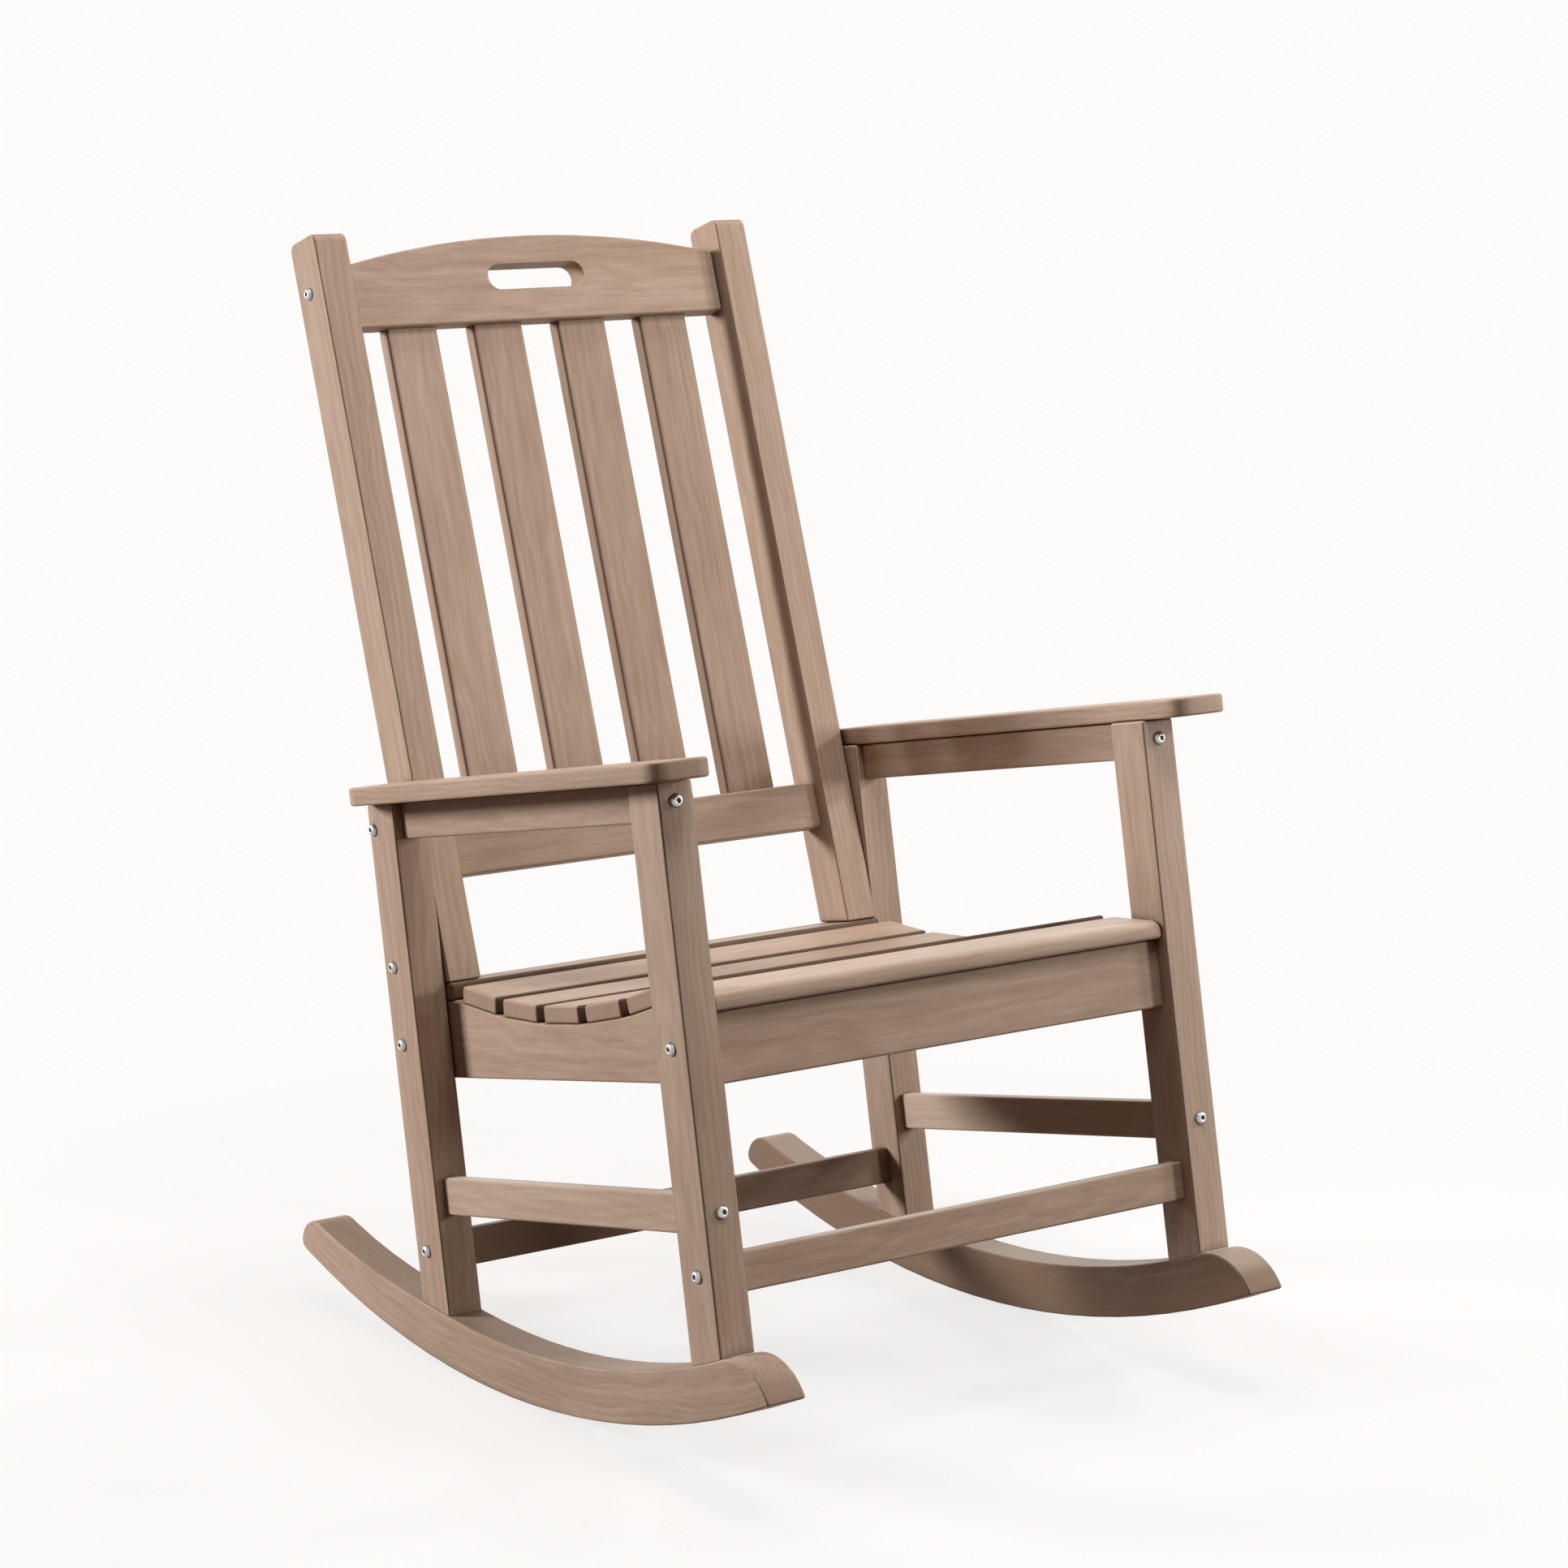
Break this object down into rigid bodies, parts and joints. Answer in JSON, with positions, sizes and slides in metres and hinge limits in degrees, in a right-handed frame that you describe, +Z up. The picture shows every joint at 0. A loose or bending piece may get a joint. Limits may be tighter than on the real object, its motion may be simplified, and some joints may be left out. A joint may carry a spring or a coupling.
{
  "type": "rocking chair",
  "caption": "Slatted porch rocking chair: flat arms, dished slat seat, leaned slat back with an arched crest rail and hand slot, on curved rockers, bolted together.",
  "frame": {"origin": "middle of the chair's box, on the floor under the rockers", "axes": "+Z up, -Y the way the chair faces, +X to the right of someone who looks at its front"},
  "size_m": [0.67, 0.8846, 1.0889],
  "materials": {
    "board": "brushed grain, weathered tan, matt",
    "steel": "stainless"
  },
  "bodies": {
    "root": {"arm_rail_left": "board", "arm_rail_right": "board", "armrest_left": "board", "armrest_right": "board", "back_post_left": "board", "back_post_right": "board", "back_slat_1": "board", "back_slat_2": "board", "back_slat_3": "board", "back_slat_4": "board", "bolt_crest_left": "steel", "bolt_crest_right": "steel", "bolt_front_arm_rail_left": "steel", "bolt_front_arm_rail_right": "steel", "bolt_front_rocker_left": "steel", "bolt_front_rocker_right": "steel", "bolt_front_seat_rail_left": "steel", "bolt_front_seat_rail_right": "steel", "bolt_front_side_stretcher_left": "steel", "bolt_front_side_stretcher_right": "steel", "bolt_front_stretcher_left": "steel", "bolt_front_stretcher_right": "steel", "bolt_lower_post_left": "steel", "bolt_lower_post_right": "steel", "bolt_rear_arm_rail_left": "steel", "bolt_rear_arm_rail_right": "steel", "bolt_rear_rocker_left": "steel", "bolt_rear_rocker_right": "steel", "bolt_rear_seat_rail_left": "steel", "bolt_rear_seat_rail_right": "steel", "bolt_rear_side_stretcher_left": "steel", "bolt_rear_side_stretcher_right": "steel", "bolt_rear_stretcher_left": "steel", "bolt_rear_stretcher_right": "steel", "bolt_upper_post_left": "steel", "bolt_upper_post_right": "steel", "crest_rail": "board", "front_leg_left": "board", "front_leg_right": "board", "front_stretcher": "board", "lower_back_rail": "board", "rear_leg_left": "board", "rear_leg_right": "board", "rear_stretcher": "board", "rocker_left": "board", "rocker_right": "board", "seat_front_rail": "board", "seat_rear_rail": "board", "seat_side_rail_left": "board", "seat_side_rail_right": "board", "seat_slat_1": "board", "seat_slat_2": "board", "seat_slat_3": "board", "seat_slat_4": "board", "seat_slat_5": "board", "seat_slat_6": "board", "seat_slat_7": "board", "side_stretcher_left": "board", "side_stretcher_right": "board"}
  },
  "joints": []
}
